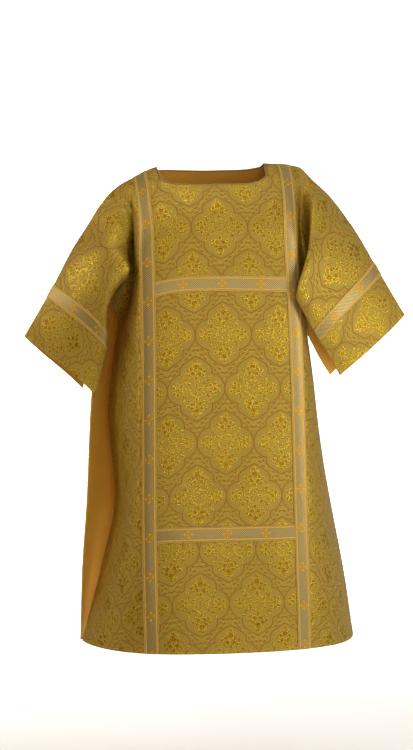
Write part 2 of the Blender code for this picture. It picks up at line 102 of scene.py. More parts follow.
# ---- Small creases on each panel: flat-cut ends, how wide, how high ----
# columns: from_across, from_down, to_across, to_down, reach, rise
CREASES = {
    "front": (
        (-0.232, 0.030, -0.300, 0.140, 0.010, 0.0030),
        (-0.205, 0.050, -0.250, 0.160, 0.012, -0.0030),
        (-0.258, 0.010, -0.395, 0.210, 0.013, 0.0055),
        (-0.285, 0.150, -0.345, 0.215, 0.012, 0.0028),
        (-0.300, 0.330, -0.255, 0.520, 0.030, 0.0030),
        (-0.230, 0.420, -0.215, 0.760, 0.034, -0.0026),
        (0.262, 0.020, 0.345, 0.150, 0.018, 0.0032),
        (0.300, 0.008, 0.372, 0.090, 0.014, 0.0020),
        (0.240, 0.060, 0.290, 0.170, 0.012, -0.0024),
        (0.395, 0.060, 0.470, 0.190, 0.026, -0.0020),
        (0.245, 0.450, 0.270, 0.900, 0.036, 0.0026),
        (-0.110, 0.300, 0.020, 0.330, 0.050, -0.0012),
        (0.060, 0.620, 0.090, 0.980, 0.050, 0.0018),
    ),
    "back": (
        (-0.232, 0.030, -0.305, 0.150, 0.012, 0.0032),
        (-0.270, 0.015, -0.335, 0.110, 0.015, -0.0022),
        (0.240, 0.030, 0.310, 0.160, 0.013, 0.0030),
        (0.285, 0.012, 0.350, 0.100, 0.016, 0.0024),
        (-0.090, 0.350, -0.120, 0.900, 0.040, 0.0028),
        (0.070, 0.420, 0.110, 1.020, 0.046, 0.0030),
        (0.010, 0.560, -0.010, 0.960, 0.034, -0.0022),
        (-0.260, 0.360, -0.290, 0.760, 0.032, 0.0026),
        (0.270, 0.400, 0.300, 0.860, 0.034, -0.0026),
    ),
}

# ---- The woven figure, in centimetres out from the middle of a medallion ----
# FIGURE_START alone is in metres down the cloth. A lobe has its middle and radius; a ring, the radius,
# number and size of its petals; the bar and the long ring, how far they are squashed.
REPEAT_WIDTH = 12.8
REPEAT_HEIGHT = 24.0
FIGURE_START = 0.205
SIDE_LOBE = (2.95, 3.45)
CROWN_LOBE = (3.9, 3.6)
CROWN_SLOPE = 0.6
CROWN_SLANT = 0.86
CROWN_POINT = 7.30
OUTLINE_HALF = 0.11
CHANNEL_START = (3.2, 6.0)
CHANNEL_LEAN = (0.654, 0.756)
LEAF_PITCH = 1.24
LEAF_ROWS = ((-0.42, 0.0), (0.42, 0.62))
LEAF_LEAN = 0.42
LEAF_SLIM = 0.36
LEAF_HALF = 0.17
ROSETTE_AT = 4.15
PETAL_RING = (1.10, 7, 0.36)
SPRAY_BAR = (5.5, 0.25, 0.20)
FLOWER_AT = (2.75, 1.75)
FLOWER_SHAPE = (0.62, 5, 0.3)
SCROLL_RING = (0.9, 1.6, 0.12)
HALO = 0.10
FIELD_LONG = (0.66, 3.5)
FIELD_SIDE = 1.5

# ---- The figure's round dots, from the bud of the spray down to the stem of the rosette ----
# columns: across, down, narrower, shorter, radius
FIGURE_DOTS = (
    (0.0, 6.05, 1.0, 1.0, 0.36), (0.0, 4.85, 1.0, 1.3, 0.72), (1.05, 4.35, 1.0, 1.0, 0.46),
    (1.95, 3.95, 1.0, 1.0, 0.38), (0.75, 3.35, 1.0, 1.0, 0.52), (1.55, 2.95, 1.0, 1.0, 0.34),
    (0.0, 2.35, 1.0, 0.8, 0.40), (3.1, 2.75, 1.0, 1.0, 0.30), (1.7, 1.1, 1.0, 1.0, 0.34),
    (0.0, 0.75, 1.0, 1.0, 0.30), (1.0, 0.0, 1.0, 1.0, 0.28), (4.15, 0.0, 1.0, 1.0, 0.42),
    (2.6, 0.0, 0.7, 1.0, 0.24),
)

# ---- The galloon's weave, in millimetres out from its middle and along it ----
TOOTH_PITCH = 7.6
TOOTH_SLOPE = 0.38
BORDER_AT = 12.4
BORDER_HALF = 1.9
# GROOVE_AT and GROOVE_HALF place the line of painted shade along the groove by the edge cord
GROOVE_AT = 14.5
GROOVE_HALF = 0.30
EDGE_CORD_FROM = 14.9
EDGE_CORD_TWIST = 1.8
HATCH_PITCH = 4.2
HATCH_HALF = 0.9
FINE_HALF = 0.5
HATCH_REACH = 10.9
FLORET_PITCH = 88.0
PAD_SLIM = 1.15
PAD_REACH = 12.5
LONG_PETAL = (8.2, 2.3)
SIDE_PETAL = (7.2, 2.0)

# ---- Grain: scale of the specks in each finish, and pitch of the weave in metres ----
SPECK_SCALE = 460.0
FLECK_SCALE = 520.0
CLOUD_SCALE = 7.0
STRAY_LEVEL = 0.60
GRIT_LEVEL = 0.40
WEFT_PITCH = 0.0007
WARP_PITCH = 0.0011
LINING_PITCH = 0.0009

# ---- Colours ----
GROUND_DARK = (0.262, 0.174, 0.024)
GROUND_LIGHT = (0.320, 0.213, 0.032)
FIGURE_YELLOW = (0.66, 0.49, 0.035)
FIGURE_BROWN = (0.195, 0.078, 0.004)
LINE_BROWN = (0.235, 0.088, 0.004)
LINE_STRENGTH = 0.9
LINING_DARK = (0.66, 0.33, 0.030)
LINING_LIGHT = (0.80, 0.42, 0.045)
CHAMPAGNE = (0.43, 0.315, 0.105)
SILVER = (0.56, 0.46, 0.22)
HATCH_BROWN = (0.085, 0.038, 0.004)
ORANGE_YELLOW = (0.60, 0.29, 0.007)
CORD_COLOUR = (0.46, 0.33, 0.11)
PAD_OCHRE = (0.44, 0.24, 0.02)
PIPING_COLOUR = (0.33, 0.18, 0.05)
THREAD_COLOUR = (0.62, 0.42, 0.12)
LINING_THREAD = (0.60, 0.34, 0.08)

# ---- Room, light and view ----
FLOOR_HEIGHT = -1.46
FLOOR_REACH = 12.0
BACKDROP_START = 6.8
BACKDROP_RADIUS = 1.2
BACKDROP_STATIONS = 17
FLOOR_COLOUR = (0.93, 0.93, 0.93, 1.0)
WHITE = (1.0, 1.0, 1.0)
WORLD_SHADE = (0.31, 0.215, 0.110)
WORLD_LIGHT = (0.48, 0.47, 0.44)
LIGHTS = (
    ("key", (3.1, -2.3, 0.0), (0.0, 0.0, -0.6), (1.6, 2.6), 78.0),
    ("fill", (0.2, -3.6, -0.3), (0.0, 0.0, -0.7), (1.4, 1.4), 31.0),
    ("side", (-2.8, 0.3, 0.7), (-0.2, 0.0, -0.4), (1.4, 2.0), 34.0),
    ("top", (-0.2, -0.8, 2.2), (0.0, 0.0, -0.4), (2.0, 2.0), 30.0),
    ("backdrop_left", (-3.0, 3.6, 1.2), (-0.6, 6.8, -0.8), (2.0, 2.4), 330.0),
    ("backdrop_right", (3.0, 3.6, 1.2), (1.0, 6.8, -0.8), (2.0, 2.4), 330.0),
)
VIEW_TURN = 10.0
VIEW_DISTANCE = 3.6
VIEW_HEIGHT = -0.486
LENS = 74.3

# ---- How far along the cloth a shoulder fold is softened ----
SOFTNESS = 0.010
SOFT_WEIGHTS = ((-2, 0.1), (-1, 0.2), (0, 0.4), (1, 0.2), (2, 0.1))

SIDES = {"right": -1, "left": 1}
FACES = {"front": -1, "back": 1}

# ---- Shoulder and sleeve-top line, a row for each station of the seam ----
# columns: across, out, forward, height
TOP_LINE = {
    "right": (
        (0.000, 0.000, 0.000, 0.002), (0.085, 0.083, 0.000, 0.001), (0.125, 0.121, 0.000, -0.005),
        (0.174, 0.165, 0.000, -0.027), (0.214, 0.200, 0.000, -0.046), (0.244, 0.223, 0.000, -0.065),
        (0.269, 0.239, 0.000, -0.084), (0.292, 0.253, 0.000, -0.102), (0.336, 0.276, 0.000, -0.140),
        (0.401, 0.311, 0.000, -0.195), (0.505, 0.359, 0.000, -0.287), (0.636, 0.422, 0.000, -0.398),
    ),
    "left": (
        (0.000, 0.000, 0.000, 0.002), (0.085, 0.094, 0.000, 0.006), (0.125, 0.139, 0.000, 0.010),
        (0.173, 0.187, 0.000, 0.008), (0.204, 0.218, 0.000, 0.004), (0.250, 0.251, 0.002, -0.025),
        (0.306, 0.290, 0.016, -0.065), (0.372, 0.326, 0.034, -0.117), (0.430, 0.354, 0.048, -0.164),
        (0.507, 0.389, 0.065, -0.232), (0.636, 0.452, 0.088, -0.347),
    ),
}

# ---- Centre line of each panel below the armpit, by level (0 armpit, 1 hem) ----
# columns: level, x, y
CENTRE = {
    "front": (
        (0.0, 0.006, -0.142), (0.15, 0.009, -0.158), (0.35, 0.012, -0.167), (0.7, 0.018, -0.164),
        (1.0, 0.028, -0.158),
    ),
    "back": (
        (0.0, 0.004, 0.140), (0.15, 0.006, 0.158), (0.35, 0.012, 0.178), (0.7, 0.028, 0.225),
        (1.0, 0.048, 0.285),
    ),
}

# ---- Height of the armpit row, which sags towards the sides ----
# columns: across, height
ARMPIT_ROW = {
    ("front", "right"): ((0.0, -0.190), (0.08, -0.193), (0.165, -0.212), (0.25, -0.240), (0.36, -0.268)),
    ("front", "left"): ((0.0, -0.190), (0.165, -0.191), (0.25, -0.236), (0.36, -0.280)),
    ("back", "right"): ((0.0, -0.192), (0.165, -0.205), (0.25, -0.238), (0.36, -0.268)),
    ("back", "left"): ((0.0, -0.192), (0.165, -0.198), (0.25, -0.235), (0.36, -0.275)),
}

# ---- Plan sections: how far the cloth has turned back, in degrees, along its width ----
# columns: level, middle, band, side_1, side_2, side_3, side_4, side_5, side_6
# middle is half way to the band; side_1 to side_6 are equal stretches from the band's outer edge to
# the side edge. Past 90 the cloth would run inwards; below 0 it folds forwards again.
TURN = {
    ("front", "right"): (
        (0.000, 3, 12, 81, 98, 104, 80, 6, -98),
        (0.035, 3, 12, 80, 96, 106, 94, 38, -34),
        (0.070, 3, 13, 77, 92, 100, 94, 66, 22),
        (0.120, 3, 14, 71, 83, 90, 90, 84, 70),
        (0.180, 3, 15, 65, 77, 83, 84, 84, 84),
        (0.350, 3, 15, 61, 70, 77, 81, 82, 82),
        (0.600, 3, 17, 62, 76, 86, 88, 88, 86),
        (0.800, 4, 18, 50, 64, 74, 80, 82, 84),
        (1.000, 5, 22, 34, 46, 56, 66, 72, 84),
    ),
    ("front", "left"): (
        (0.000, 2, 8, 76, 70, 0, -80, -136, -156),
        (0.035, 2, 8, 75, 72, 34, -24, -66, -84),
        (0.070, 2, 9, 73, 74, 62, 34, 6, -14),
        (0.120, 2, 9, 66, 74, 78, 76, 66, 52),
        (0.180, 2, 10, 60, 73, 80, 83, 84, 82),
        (0.350, 3, 10, 52, 64, 72, 76, 78, 78),
        (0.600, 4, 11, 42, 54, 62, 68, 72, 74),
        (0.800, 5, 14, 32, 44, 54, 62, 68, 72),
        (1.000, 8, 20, 26, 34, 46, 58, 66, 74),
    ),
    ("back", "right"): (
        (0.000, 3, 10, 66, 80, 88, 76, 10, -90),
        (0.035, 3, 10, 54, 68, 79, 78, 42, -34),
        (0.070, 3, 11, 51, 62, 73, 76, 60, 22),
        (0.120, 3, 12, 51, 61, 69, 73, 70, 54),
        (0.180, 3, 12, 49, 59, 67, 70, 69, 64),
        (0.350, 5, 10, 48, 60, 61, 64, 64, 64),
        (0.600, 8, 4, 44, 68, 58, 56, 60, 62),
        (0.800, 10, 2, 38, 64, 54, 52, 56, 62),
        (1.000, 12, 4, 32, 58, 50, 50, 56, 66),
    ),
    ("back", "left"): (
        (0.000, 3, 10, 76, 92, 92, 66, -10, -84),
        (0.035, 3, 10, 76, 92, 95, 86, 46, -10),
        (0.070, 3, 11, 74, 91, 96, 94, 84, 62),
        (0.120, 3, 12, 70, 87, 94, 95, 93, 88),
        (0.180, 3, 12, 64, 82, 91, 93, 93, 92),
        (0.350, 4, 14, 52, 78, 88, 86, 83, 84),
        (0.600, 4, 18, 42, 80, 92, 76, 64, 72),
        (0.800, 3, 20, 36, 80, 92, 66, 48, 64),
        (1.000, 2, 22, 34, 78, 92, 60, 38, 58),
    ),
}

# ---- Under-edge of each half-sleeve, beyond the armpit corner ----
# columns: across, out, forward, height
UNDER_EDGE = {
    ("front", "right"): (
        (0.385, 0.200, 0.098, -0.270), (0.41, 0.227, 0.100, -0.300), (0.45, 0.244, 0.092, -0.348),
        (0.51, 0.240, 0.076, -0.412), (0.57, 0.250, 0.066, -0.470), (0.636, 0.267, 0.060, -0.531),
    ),
    ("front", "left"): (
        (0.400, 0.176, 0.160, -0.310), (0.45, 0.196, 0.160, -0.350), (0.50, 0.219, 0.157, -0.388),
        (0.57, 0.250, 0.152, -0.437), (0.636, 0.281, 0.146, -0.487),
    ),
    ("back", "right"): (
        (0.395, 0.226, 0.082, -0.292), (0.43, 0.242, 0.090, -0.322), (0.50, 0.250, 0.096, -0.388),
        (0.57, 0.262, 0.094, -0.452), (0.636, 0.280, 0.084, -0.518),
    ),
    ("back", "left"): (
        (0.395, 0.224, 0.096, -0.300), (0.43, 0.242, 0.104, -0.326), (0.50, 0.266, 0.108, -0.382),
        (0.57, 0.290, 0.098, -0.436), (0.636, 0.316, 0.080, -0.486),
    ),
}

# ---- Shoulder ribs: pull of the cloth where it leaves the top line and where it meets its foot ----
# in, forward and drop move the first handle from the top line; foot_in, foot_forward and rise move
# the second one from the foot. A forward pull makes the sleeve roll, a backward one the recess.
# columns: across, in, forward, drop, foot_in, foot_forward, rise
RIB = {
    ("front", "right"): (
        (0.000, 0.000, 0.066, 0.020, 0.000, 0.000, 0.080),
        (0.150, -0.004, 0.060, 0.022, 0.000, 0.000, 0.078),
        (0.188, 0.004, 0.052, 0.018, 0.000, -0.006, 0.070),
        (0.210, 0.018, 0.048, 0.015, 0.000, -0.018, 0.064),
        (0.235, 0.044, 0.058, 0.010, 0.004, -0.026, 0.060),
        (0.275, 0.086, 0.106, 0.004, 0.024, -0.010, 0.056),
        (0.315, 0.090, 0.122, -0.004, 0.036, 0.036, 0.048),
        (0.360, 0.064, 0.114, 0.000, 0.034, 0.070, 0.040),
        (0.410, 0.030, 0.096, 0.004, 0.010, 0.052, 0.030),
        (0.500, 0.034, 0.070, 0.030, -0.012, 0.036, 0.034),
        (0.636, 0.050, 0.036, 0.046, -0.045, 0.016, 0.050),
    ),
    ("front", "left"): (
        (0.000, 0.000, 0.066, 0.018, 0.000, 0.000, 0.080),
        (0.150, -0.004, 0.060, 0.018, 0.000, 0.000, 0.076),
        (0.190, 0.000, 0.050, 0.026, 0.000, -0.006, 0.074),
        (0.210, 0.008, 0.040, 0.034, 0.000, -0.020, 0.078),
        (0.235, 0.034, 0.046, 0.034, 0.000, -0.034, 0.078),
        (0.275, 0.068, 0.076, 0.026, 0.020, -0.016, 0.068),
        (0.315, 0.084, 0.100, 0.014, 0.036, 0.012, 0.060),
        (0.360, 0.076, 0.100, 0.010, 0.020, 0.030, 0.056),
        (0.410, 0.056, 0.086, 0.016, 0.000, 0.026, 0.054),
        (0.500, 0.036, 0.058, 0.034, -0.036, 0.014, 0.050),
        (0.636, 0.050, 0.034, 0.044, -0.056, 0.008, 0.046),
    ),
    ("back", "right"): (
        (0.000, 0.000, 0.066, 0.022, 0.000, 0.000, 0.080),
        (0.150, -0.004, 0.060, 0.022, 0.000, 0.000, 0.078),
        (0.190, 0.004, 0.052, 0.020, 0.000, -0.004, 0.072),
        (0.235, 0.040, 0.056, 0.008, 0.000, -0.036, 0.060),
        (0.275, 0.056, 0.090, 0.006, 0.000, -0.030, 0.058),
        (0.315, 0.046, 0.112, -0.004, 0.010, 0.030, 0.044),
        (0.360, 0.030, 0.108, 0.000, 0.004, 0.056, 0.034),
        (0.410, 0.024, 0.096, 0.006, 0.000, 0.050, 0.032),
        (0.500, 0.034, 0.076, 0.030, -0.016, 0.038, 0.034),
        (0.636, 0.050, 0.048, 0.046, -0.045, 0.022, 0.048),
    ),
    ("back", "left"): (
        (0.000, 0.000, 0.066, 0.022, 0.000, 0.000, 0.080),
        (0.150, -0.004, 0.062, 0.020, 0.000, 0.000, 0.080),
        (0.190, 0.000, 0.056, 0.024, 0.000, -0.004, 0.076),
        (0.235, 0.024, 0.046, 0.020, 0.000, -0.038, 0.074),
        (0.275, 0.046, 0.088, 0.008, 0.000, -0.032, 0.064),
        (0.315, 0.046, 0.112, 0.000, 0.008, 0.020, 0.052),
        (0.360, 0.040, 0.110, 0.004, 0.008, 0.046, 0.040),
        (0.410, 0.036, 0.098, 0.014, -0.006, 0.046, 0.036),
        (0.500, 0.040, 0.080, 0.030, -0.032, 0.036, 0.038),
        (0.636, 0.050, 0.052, 0.044, -0.056, 0.020, 0.046),
    ),
}


# ---------------------------------------------------------------- reading the tables

def read(rows, keys):
    """Columns after the first at many keys, by a smooth curve through the rows."""
    rows = np.array(rows, float)
    marks = rows[:, 0]
    keys = np.clip(np.asarray(keys, float), marks[0], marks[-1])
    steps = np.diff(marks)[:, None]
    secants = np.diff(rows[:, 1:], axis=0) / steps
    before = secants[:-1]
    after = secants[1:]
    together = np.where(before + after == 0, 1.0, before + after)
    inner = np.where(before * after > 0, 2 * before * after / together, 0.0)
    slopes = np.vstack([secants[:1], inner, secants[-1:]])
    index = np.clip(np.searchsorted(marks, keys, side="left") - 1, 0, len(marks) - 2)
    step = steps[index]
    part = (keys - marks[index])[..., None] / step
    square = part * part
    cube = square * part
    return (
        rows[index, 1:] * (2 * cube - 3 * square + 1) + slopes[index] * step * (cube - 2 * square + part)
        + rows[index + 1, 1:] * (3 * square - 2 * cube) + slopes[index + 1] * step * (cube - square)
    )


def smooth_step(value):
    value = np.clip(value, 0.0, 1.0)
    return value * value * (3 - 2 * value)


# ---------------------------------------------------------------- the worn form

def half_width(face, level):
    return ARMPIT_ACROSS + (SIDE_SPREAD[face] - ARMPIT_ACROSS) * level


def band_centre(level):
    return BAND_CENTRE_TOP + (BAND_CENTRE_HEM - BAND_CENTRE_TOP) * level


def body_line(face, side, level, across):
    """Plan positions along one level: the cloth followed outwards from the centre line."""
    turns = read(TURN[face, side], level)
    outer = band_centre(level) + BAND_WIDTH / 2
    stretch = (half_width(face, level) - outer) / SIDE_STRETCHES
    marks = [0.0, band_centre(level) / 2, band_centre(level)]
    marks += [outer + (number + 0.5) * stretch for number in range(SIDE_STRETCHES)]
    steps = np.arange(0.0, half_width(face, level) + 2 * PLAN_STEP, PLAN_STEP)
    heading = np.radians(np.interp(steps[:-1] + PLAN_STEP / 2, marks, np.concatenate([[0.0], turns])))
    x, y = read(CENTRE[face], level)
    run_x = x + SIDES[side] * np.concatenate([[0.0], np.cumsum(np.cos(heading))]) * PLAN_STEP
    run_y = y - FACES[face] * np.concatenate([[0.0], np.cumsum(np.sin(heading))]) * PLAN_STEP
    return np.interp(across, steps, run_x), np.interp(across, steps, run_y)


def armpit_height(face, side, level, across):
    return read(ARMPIT_ROW[face, side], across * ARMPIT_ACROSS / half_width(face, level))[..., 0]


def body_points(face, side, level, across):
    x, y = body_line(face, side, level, across)
    start = armpit_height(face, side, level, across)
    return np.stack([x, y, start + (HEM_HEIGHT - start) * level], axis=-1)


def plain_rib(face, side, across, share):
    """Points of the shoulder ribs, from the top line (share 0) to the armpit row or sleeve under-edge."""
    line = read(TOP_LINE[side], across)
    top = np.stack([SIDES[side] * line[..., 0], FACES[face] * GAP / 2 - line[..., 1], line[..., 2]], axis=-1)
    corner = body_points(face, side, 0.0, np.array(ARMPIT_ACROSS))
    row = body_points(face, side, 0.0, np.minimum(across, ARMPIT_ACROSS))
    first = (ARMPIT_ACROSS, SIDES[side] * corner[0], FACES[face] * corner[1], corner[2])
    edge = read((first,) + UNDER_EDGE[face, side], across) * (SIDES[side], FACES[face], 1)
    foot = np.where((across <= ARMPIT_ACROSS)[..., None], row, edge)
    pull = read(RIB[face, side], across)
    start = top + pull[..., :3] * (-SIDES[side], FACES[face], -1)
    end = foot + pull[..., 3:] * (-SIDES[side], FACES[face], 1)
    share = share[..., None]
    rest = 1 - share
    leaving = top * rest ** 3 + 3 * start * rest * rest * share
    return leaving + 3 * end * rest * share * share + foot * share ** 3


def rib_points(face, side, across, share):
    """The ribs softened along the cloth, except at their two ends."""
    reach = np.minimum(SOFTNESS * 4 * share * (1 - share), np.minimum(CUFF_ACROSS - across, across) / 2)
    total = 0.0
    for offset, weight in SOFT_WEIGHTS:
        total = total + plain_rib(face, side, across + offset * reach, share) * weight
    return total


def neck_share(face, across):
    drop = {"front": FRONT_NECK_DROP, "back": BACK_NECK_DROP}[face]
    inside = np.minimum(across / NECK_HALF, 1.0)
    return drop * (1 - inside ** NECK_SQUARENESS) ** (1 / NECK_SQUARENESS) / SLEEVE_DEPTH


def seam_direction(side, across):
    before = read(TOP_LINE[side], across - SEAM_STEP)
    after = read(TOP_LINE[side], across + SEAM_STEP)
    rise = after[..., 2] - before[..., 2]
    run = after[..., 0] - before[..., 0]
    out = np.stack([-rise * SIDES[side], np.zeros_like(rise), run], axis=-1)
    return out / np.linalg.norm(out, axis=-1, keepdims=True)


# ---------------------------------------------------------------- a panel as one fine sheet

class Cloth:
    """One panel as a fine grid: points, flat-cut coordinates, faces and outward directions."""

    def __init__(self, face):
        self.face = face
        self.points = []
        self.flat = []
        self.faces = []
        self.grids = {}
        self.seam = {}
        self.count = 0
        for side in SIDES:
            self.add_side(side)
        self.points = np.concatenate(self.points)
        self.flat = np.concatenate(self.flat)
        self.faces = np.concatenate(self.faces)
        self.settle()

    def add(self, points, flat):
        numbers = np.arange(self.count, self.count + points[..., 0].size).reshape(points.shape[:-1])
        self.count += numbers.size
        self.points.append(points.reshape(-1, 3))
        self.flat.append(flat.reshape(-1, 2))
        return numbers

    def add_faces(self, side, name, numbers):
        cells = np.stack([numbers[:-1, :-1], numbers[1:, :-1], numbers[1:, 1:], numbers[:-1, 1:]], axis=-1)
        if SIDES[side] * FACES[self.face] > 0:
            cells = cells[..., ::-1]
        self.grids[side, name] = (numbers, cells)
        self.faces.append(cells.reshape(-1, 4))

    def ribs(self, side, columns, top):
        """Points and flat-cut places over the shoulder ribs, from each column's top share down."""
        share = top + (1 - top) * np.linspace(0, 1, YOKE_ROWS + 1)[:, None]
        across = np.broadcast_to(columns, share.shape)
        flat = np.stack([across * SIDES[side], share * SLEEVE_DEPTH], axis=-1)
        return rib_points(self.face, side, across, share), flat

    def body_rows(self, side):
        """Points and flat-cut places of every row below the armpit row."""
        rows = []
        flats = []
        for level in body_levels()[1:]:
            line = body_columns(self.face, level)
            row = body_points(self.face, side, level, line)
            fall = armpit_height(self.face, side, level, line) - row[:, 2]
            rows.append(row)
            flats.append(np.stack([line * SIDES[side], SLEEVE_DEPTH + fall], axis=-1))
        return np.stack(rows), np.stack(flats)

    def add_side(self, side):
        columns = body_columns(self.face, 0.0)
        top = neck_share(self.face, columns)
        points, flat = self.ribs(side, columns, top)
        other = "left" if side == "right" else "right"
        points[:, :1] = (points[:, :1] + self.ribs(other, columns[:1], top[:1])[0]) / 2
        yoke = self.add(points, flat)
        body = np.vstack([yoke[-1:], self.add(*self.body_rows(side))])
        stations = sleeve_columns()
        points, flat = self.ribs(side, stations, np.zeros(len(stations)))
        sleeve = np.hstack([yoke[:, -1:], self.add(points[:, 1:], flat[:, 1:])])
        if side == "left":
            yoke = yoke.copy()
            body = body.copy()
            yoke[:, 0] = self.grids["right", "yoke"][0][:, 0]
            body[:, 0] = self.grids["right", "body"][0][:, 0]
        for name, numbers in (("yoke", yoke), ("body", body), ("sleeve", sleeve)):
            self.add_faces(side, name, numbers)
        for numbers, places in ((yoke[0], columns), (sleeve[0], stations)):
            for number, place in zip(numbers, places):
                if place >= NECK_HALF - SAME_PLACE:
                    self.seam[int(number)] = (side, round(float(place), 6))

    def settle(self):
        """Work in the small creases, then find the direction in which each layer lies off the sheet."""
        normals = self.normals()
        self.points = self.points + normals * creases(self.face, self.flat)[:, None]
        self.outward = self.normals()
        self.least = np.ones(len(self.points))
        for number, (side, place) in self.seam.items():
            direction = seam_direction(side, np.array(place))
            self.least[number] = max(float(direction @ self.outward[number]), LEAST_SLOPE)
            self.outward[number] = direction

    def normals(self):
        corners = self.points[self.faces]
        normal = np.cross(corners[:, 2] - corners[:, 0], corners[:, 3] - corners[:, 1])
        total = np.zeros_like(self.points)
        for corner in range(4):
            np.add.at(total, self.faces[:, corner], normal)
        return total / np.maximum(np.linalg.norm(total, axis=1, keepdims=True), 1e-12)

    def layer(self, distance):
        return self.points + self.outward * (distance / self.least)[:, None]


def share_seam(cloths):
    """Front and back move alike along their seam, so that neither passes through the other."""
    places = {place: number for number, place in cloths["back"].seam.items()}
    for number, place in cloths["front"].seam.items():
        other = places[place]
        shared = min(cloths["front"].least[number], cloths["back"].least[other])
        cloths["front"].least[number] = shared
        cloths["back"].least[other] = shared


def body_columns(face, level):
    inner = band_centre(level) - BAND_WIDTH / 2
    outer = inner + BAND_WIDTH
    return np.concatenate([
        np.linspace(0, inner, INNER_COLUMNS + 1)[:-1],
        np.linspace(inner, outer, BAND_COLUMNS + 1)[:-1],
        np.linspace(outer, half_width(face, level), SIDE_COLUMNS + 1),
    ])


def body_levels():
    marks = [0.0]
    for centre in (CHEST_BAND_LEVEL, LOWER_BAND_LEVEL):
        marks += [centre - BAND_LEVEL_STEP / 2, centre + BAND_LEVEL_STEP / 2]
    marks.append(1.0)
    rows = [np.linspace(low, high, max(BAND_COLUMNS, round((high - low) * BODY_ROWS)) + 1)[:-1]
            for low, high in zip(marks, marks[1:])]
    return np.concatenate(rows + [[1.0]])


def sleeve_columns():
    half = BAND_WIDTH / 2
    marks = (ARMPIT_ACROSS, SLEEVE_BAND_MIDDLE - half, SLEEVE_BAND_MIDDLE + half, CUFF_ACROSS)
    counts = (SLEEVE_COLUMNS, BAND_COLUMNS, CUFF_COLUMNS)
    parts = [np.linspace(low, high, count + 1)[:-1] for low, high, count in zip(marks, marks[1:], counts)]
    return np.concatenate(parts + [[CUFF_ACROSS]])


def creases(face, flat):
    """Height of the small creases over the sheet, each a soft ridge or trough along a line."""
    height = np.zeros(len(flat))
    for from_across, from_down, to_across, to_down, reach, rise in CREASES[face]:
        start = np.array([from_across, from_down])
        along = np.array([to_across, to_down]) - start
        place = (flat - start) @ along / (along @ along)
        away = np.linalg.norm(flat - start - np.clip(place, 0, 1)[:, None] * along, axis=1) / reach
        fade = smooth_step((place + 0.15) / 0.3) * smooth_step((1.15 - place) / 0.4)
        height += rise * np.exp(-away * away) * fade
    return height


# ---------------------------------------------------------------- solids from a sheet

def add_object(name, data):
    thing = bpy.data.objects.new(name, data)
    bpy.context.scene.collection.objects.link(thing)
    return thing


def plain_mesh(holder, name, material):
    """The finished shape of a helper object as a mesh of its own; the helper goes."""
    bpy.context.view_layer.update()
    mesh = bpy.data.meshes.new_from_object(holder.evaluated_get(bpy.context.evaluated_depsgraph_get()))
    bpy.data.objects.remove(holder)
    mesh.name = name
    mesh.materials.clear()
    mesh.materials.append(material)
    return mesh


def closed_piece(name, low, high, faces, flat, material):
    """A closed wall between two copies of some faces of a sheet, with its UV map in flat metres."""
    used, places = np.unique(faces, return_inverse=True)
    cells = places.reshape(faces.shape)
    count = len(used)
    points = np.vstack([high[used], low[used]])
    starts = cells.reshape(-1)
    ends = np.roll(cells, -1, axis=1).reshape(-1)
    forwards = starts.astype(np.int64) * count + ends
    backwards = ends.astype(np.int64) * count + starts
    rim = ~np.isin(forwards, backwards)
    sides = np.stack([ends[rim], starts[rim], starts[rim] + count, ends[rim] + count], axis=-1)
    quads = np.vstack([cells, cells[:, ::-1] + count, sides])
    mesh = bpy.data.meshes.new(name)
    mesh.from_pydata(points.tolist(), [], quads.tolist())
    corners = np.zeros(len(mesh.loops), np.int32)
    mesh.loops.foreach_get("vertex_index", corners)
    layer = mesh.uv_layers.new(name="cloth")
    layer.data.foreach_set("uv", np.vstack([flat[used], flat[used]])[corners].astype(np.float32).ravel())
    mesh.materials.append(material)
    mesh.validate()
    mesh.shade_smooth()
    mesh.set_sharp_from_angle(angle=math.radians(SHARP_EDGE))
    return add_object(name, mesh)


def finish_piece(piece, nodes):
    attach(piece, "root")
    if nodes:
        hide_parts(*nodes)


# ---------------------------------------------------------------- shading sums

